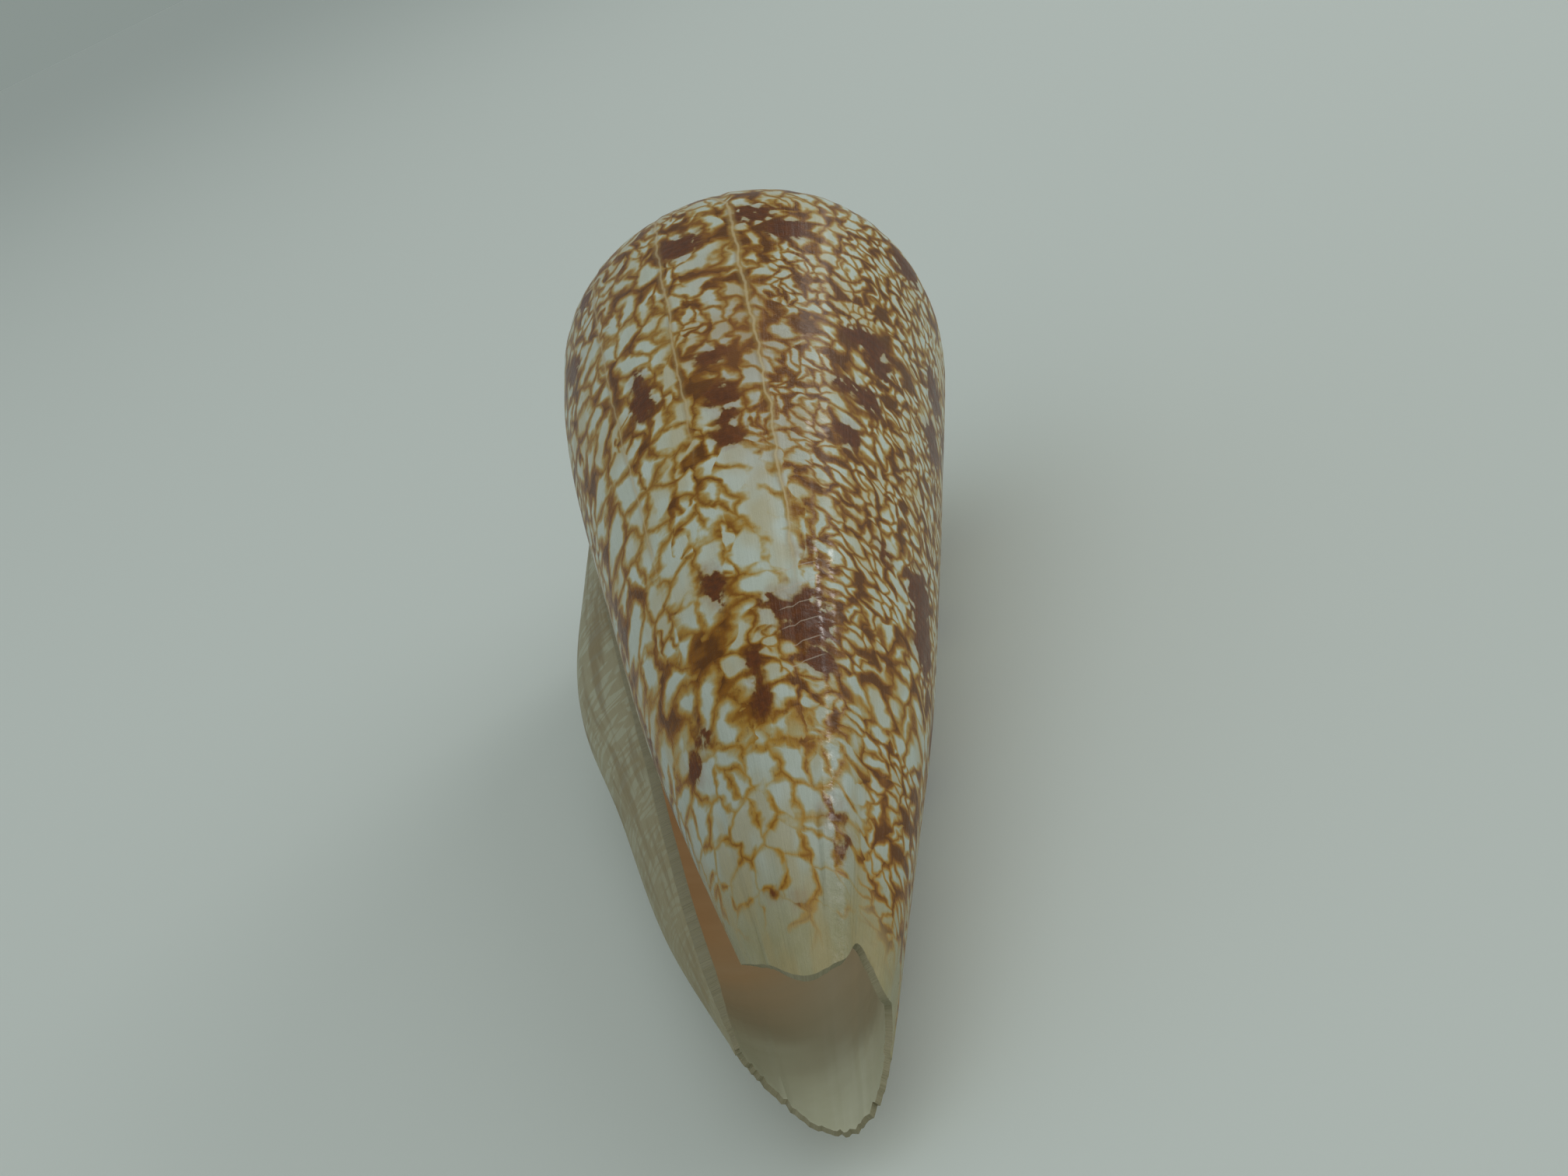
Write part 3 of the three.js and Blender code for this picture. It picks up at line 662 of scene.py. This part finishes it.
    m.link(m.math("MULTIPLY_ADD", glossy, 0.75, 0.06), m.bsdf.inputs["Coat Weight"])
    m.bsdf.inputs["Coat Roughness"].default_value = 0.12
    return m.mat


def inside():
    m = Tree("glazed inside")
    uv = m.uv("Net")
    front = m.attr("front")
    cream = m.mix(m.noise(uv, 0.8, 3.0, 0.6), srgb(176, 178, 152), srgb(188, 190, 168))
    # grey deeper in the scoop, cream at the margin and lip side: partly the glaze's own stain, partly painted shade of
    # the hollow
    grey = m.mix(m.noise(stretch(m, uv, 0.35, 0.25), 1.0, 2.0, 0.5), srgb(150, 150, 126), srgb(160, 160, 138))
    peach = m.mix(m.noise(uv, 0.4, 2.0, 0.6), srgb(184, 150, 108), srgb(168, 130, 86))
    wob = m.math("MULTIPLY_ADD", m.noise(stretch(m, uv, 0.5, 0.3), 1.0, 2.0, 0.5), 0.06, front)
    turn = m.attr("turn")
    lipside = m.step(m.math("MULTIPLY_ADD", m.noise(stretch(m, uv, 0.3, 0.2), 1.0, 2.0, 0.5), 8.0, turn), 232.0, 243.0)
    col = m.mix(m.math("MAXIMUM", m.step(wob, 0.93, 0.99), m.math("MULTIPLY", lipside, 0.7)), grey, cream)
    rind = m.math("MULTIPLY", m.step(wob, 0.76, 1.03, 1.0, 0.0), m.step(turn, 165.0, 226.0, 0.28, 1.0))
    col = m.mix(rind, col, peach)
    m.link(col, m.bsdf.inputs["Base Color"])
    growth = m.noise(stretch(m, uv, 2.2, 0.2), 1.0, 3.0, 0.6)
    m.link(m.bump(growth, 0.12, 0.00006), m.bsdf.inputs["Normal"])
    m.link(m.math("MULTIPLY_ADD", m.noise(uv, 1.0, 3.0, 0.6), 0.25, 0.26), m.bsdf.inputs["Roughness"])
    m.bsdf.inputs["Specular IOR Level"].default_value = 0.5
    m.bsdf.inputs["Coat Weight"].default_value = 0.2
    m.bsdf.inputs["Coat Roughness"].default_value = 0.2
    # painted light: the glaze glows in its own colour, most deep in the chamber and weakly at the margin, brightening
    # its shade
    m.link(col, m.bsdf.inputs["Emission Color"])
    m.link(m.step(front, 0.80, 0.97, 0.20, 0.06), m.bsdf.inputs["Emission Strength"])
    return m.mat


def edge_mat():
    m = Tree("broken edge")
    uv = m.uv()
    col = m.mix(m.noise(uv, 2.0, 3.0, 0.6), srgb(124, 116, 84), srgb(152, 146, 118))
    m.link(col, m.bsdf.inputs["Base Color"])
    m.link(m.bump(m.noise(uv, 6.0, 3.0, 0.6), 0.6, 0.00015), m.bsdf.inputs["Normal"])
    m.link(m.math("MULTIPLY_ADD", m.noise(uv, 3.0, 2.0, 0.6), 0.3, 0.35), m.bsdf.inputs["Roughness"])
    return m.mat


for mat in (outside(), inside(), edge_mat()):
    me.materials.append(mat)

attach(shell, "root")
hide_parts(NODE)

# ---------------------------------------------------------------- floor and light
fm = bpy.data.meshes.new("floor")
fm.from_pydata([(-40, -40, 0), (40, -40, 0), (40, 40, 0), (-40, 40, 0)], [], [(0, 1, 2, 3)])
FLOOR_RGB = (216, 224, 220)
floor = bpy.data.objects.new("floor", fm)
bpy.context.scene.collection.objects.link(floor)
ft = Tree("pale floor")
ft.bsdf.inputs["Base Color"].default_value = srgb(*FLOOR_RGB)
ft.bsdf.inputs["Roughness"].default_value = 0.9
ft.bsdf.inputs["Specular IOR Level"].default_value = 0.1
fm.materials.append(ft.mat)

world = bpy.data.worlds.new("studio")
world.use_nodes = True
# the sky's light is even; seen directly it has the far floor's colour, so no horizon shows
SKY = (0.84, 0.90, 0.88)
wn = world.node_tree
ray = wn.nodes.new("ShaderNodeLightPath")
hide = wn.nodes.new("ShaderNodeMix")
hide.data_type = "RGBA"
wn.links.new(ray.outputs["Is Camera Ray"], hide.inputs[0])
hide.inputs[6].default_value = SKY + (1,)
hide.inputs[7].default_value = tuple(a * b for a, b in zip(SKY, srgb(*FLOOR_RGB))) + (1,)
wn.links.new(hide.outputs[2], wn.nodes["Background"].inputs[0])
wn.nodes["Background"].inputs[1].default_value = 0.44
bpy.context.scene.world = world

# camera: where the photograph was taken from
CAM = {"alpha": 32.052517, "roll": 10.297771, "D": 8.982908, "f": math.exp(7.791785), "ox": 959.444, "oy": 737.870, "U": 11.35, "Z0": 2.2}


def camera_matrix():
    al, ro = math.radians(CAM["alpha"]), math.radians(CAM["roll"])
    rz = np.array([[math.cos(ro), -math.sin(ro), 0], [math.sin(ro), math.cos(ro), 0], [0, 0, 1]])
    A = rz @ np.array([0, -math.sin(al), math.cos(al)])
    V = rz @ np.array([0, math.cos(al), math.sin(al)])
    X = rz @ np.array([1.0, 0, 0])
    tx = (CAM["ox"] - 1008) / CAM["f"] * CAM["D"]
    ty = -(CAM["oy"] - 756) / CAM["f"] * CAM["D"]
    cam = np.array([-tx, -ty, CAM["D"]])
    local = np.array([X @ cam, V @ cam, A @ cam + CAM["Z0"]]) * CAM["U"]      # right, belly, front (mm)
    rr, pr = math.radians(ROLL), math.radians(PITCH)
    # model axes in the row frame
    def axes(right, belly, front):
        # a point at angle phi turns to phi - ROLL
        x = right * math.cos(rr) - belly * math.sin(rr)
        b = right * math.sin(rr) + belly * math.cos(rr)
        return np.array([x, -front * math.cos(pr) - b * math.sin(pr), -front * math.sin(pr) + b * math.cos(pr)])
    pos = axes(*local) + SHIFT
    cx = axes(X[0], V[0], A[0])
    cy = axes(X[1], V[1], A[1])
    cz = axes(X[2], V[2], A[2])
    mat = Matrix.Identity(4)
    for i in range(3):
        mat[i][0], mat[i][1], mat[i][2], mat[i][3] = cx[i], cy[i], cz[i], pos[i] / 1000.0
    return mat


cam = bpy.data.cameras.new("camera")
cam.sensor_fit = "HORIZONTAL"
cam.sensor_width = 36.0
cam.lens = CAM["f"] * 36.0 / 2016.0
cam.clip_start = 0.005
cam.clip_end = 200
cam.dof.use_dof = False
camo = bpy.data.objects.new("camera", cam)
bpy.context.scene.collection.objects.link(camo)
camo.matrix_world = camera_matrix()
bpy.context.scene.camera = camo
print("camera", [round(v, 4) for v in camo.matrix_world.translation], "elev", round(math.degrees(math.asin(-(camo.matrix_world.to_3x3() @ Vector((0, 0, -1))).z)), 1))


def area(name, direction, dist, size, power, color, target=(0, 0.0, 0.012)):
    data = bpy.data.lights.new(name, "AREA")
    data.shape = "RECTANGLE"
    data.size, data.size_y = size
    data.energy = power
    data.color = color
    ob = bpy.data.objects.new(name, data)
    d = Vector(direction).normalized()
    ob.location = Vector(target) + d * dist
    ob.rotation_euler = d.to_track_quat("Z", "Y").to_euler()
    bpy.context.scene.collection.objects.link(ob)


area("key", (0.0, -0.60, 1.0), 1.1, (1.5, 1.3), 1.85, (1.0, 0.985, 0.95))
area("fill", (1.0, 0.15, 0.55), 1.1, (1.2, 1.0), 2.2, (0.98, 0.98, 0.97))
area("front", (-0.10, -1.0, 0.45), 0.45, (0.40, 0.22), 0.14, (1.0, 0.99, 0.96), target=(0, -0.03, 0.008))
area("glint", (0.70, 0.57, 0.45), 0.6, (0.32, 0.05), 0.34, (1.0, 1.0, 0.98))

bpy.context.scene.view_settings.view_transform = "Standard"
bpy.context.view_layer.update()
print("tris", sum(len(p.vertices) - 2 for p in me.polygons))
